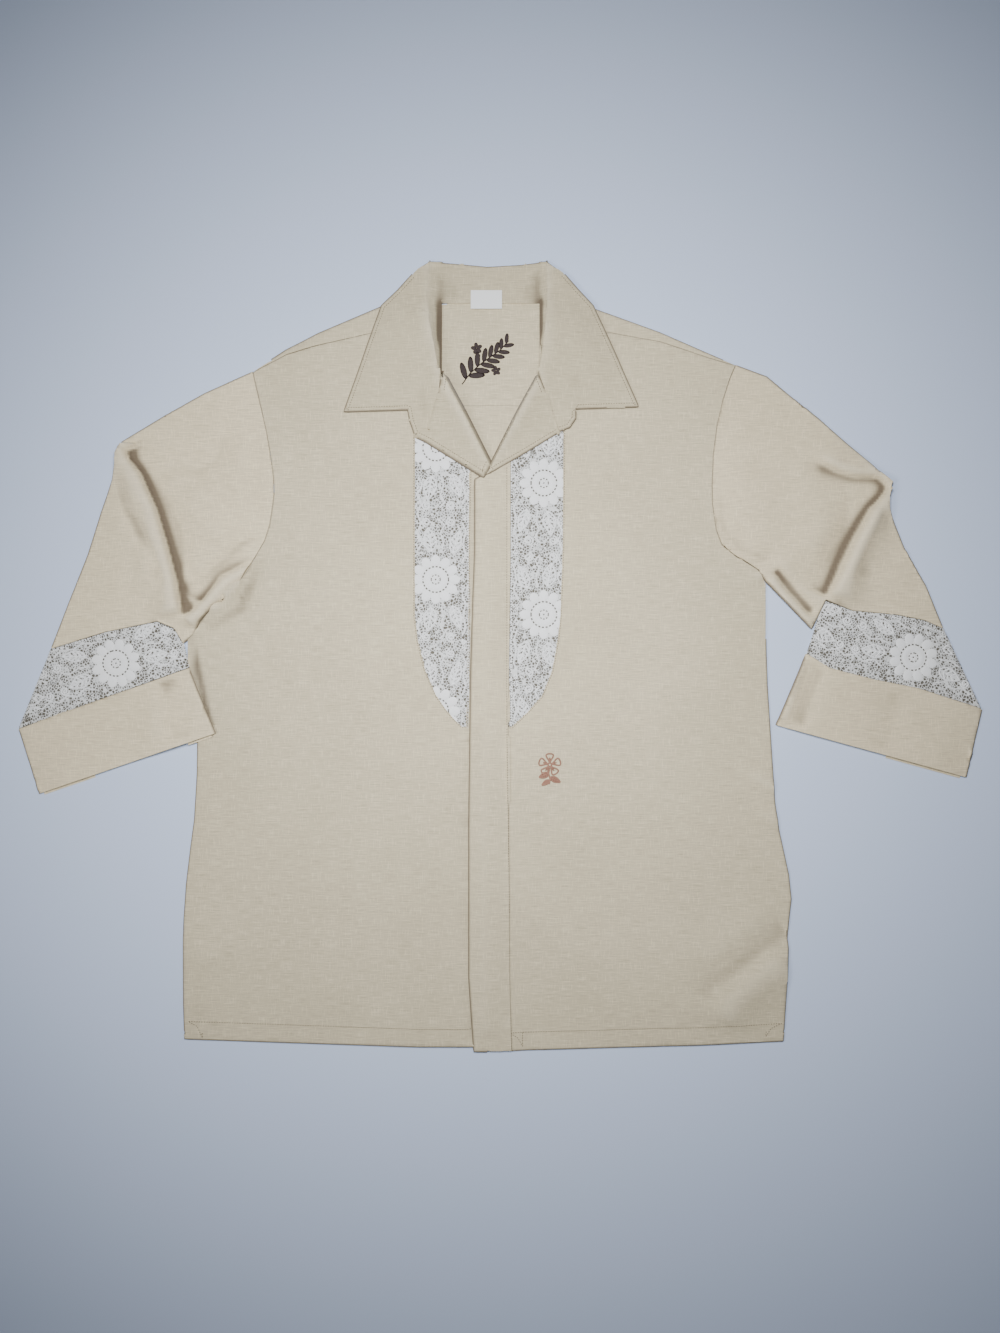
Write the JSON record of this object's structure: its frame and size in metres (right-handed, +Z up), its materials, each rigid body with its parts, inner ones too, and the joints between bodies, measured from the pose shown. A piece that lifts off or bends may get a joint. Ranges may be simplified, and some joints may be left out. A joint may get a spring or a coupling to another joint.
{
  "type": "hawaiian wedding shirt",
  "caption": "Linen camp-collar shirt laid flat, with a fly placket, lace panels beside it and lace bands above wide cuffs on elbow sleeves.",
  "frame": {"origin": "on the surface the shirt lies on, under the middle of its overall box", "axes": "+X along the arms to the shirt's right-hand side as it lies, +Y from the hem to the collar, +Z up out of the surface"},
  "size_m": [0.9876, 0.81, 0.0215],
  "materials": {
    "linen": "slubby cream linen, matt",
    "lace": "white cotton lace on a fine net",
    "label": "smooth white label tape, bare"
  },
  "bodies": {
    "root": {"back": "linen", "yoke": "linen", "front_left": "linen", "front_right": "linen", "placket": "linen", "lace_front_left": "lace", "lace_front_right": "lace", "collar": "linen", "lapel_left": "linen", "lapel_right": "linen", "neck_label": "label", "sleeve_left": "linen", "sleeve_right": "linen", "lace_sleeve_left": "lace", "lace_sleeve_right": "lace", "cuff_left": "linen", "cuff_right": "linen"}
  },
  "joints": []
}
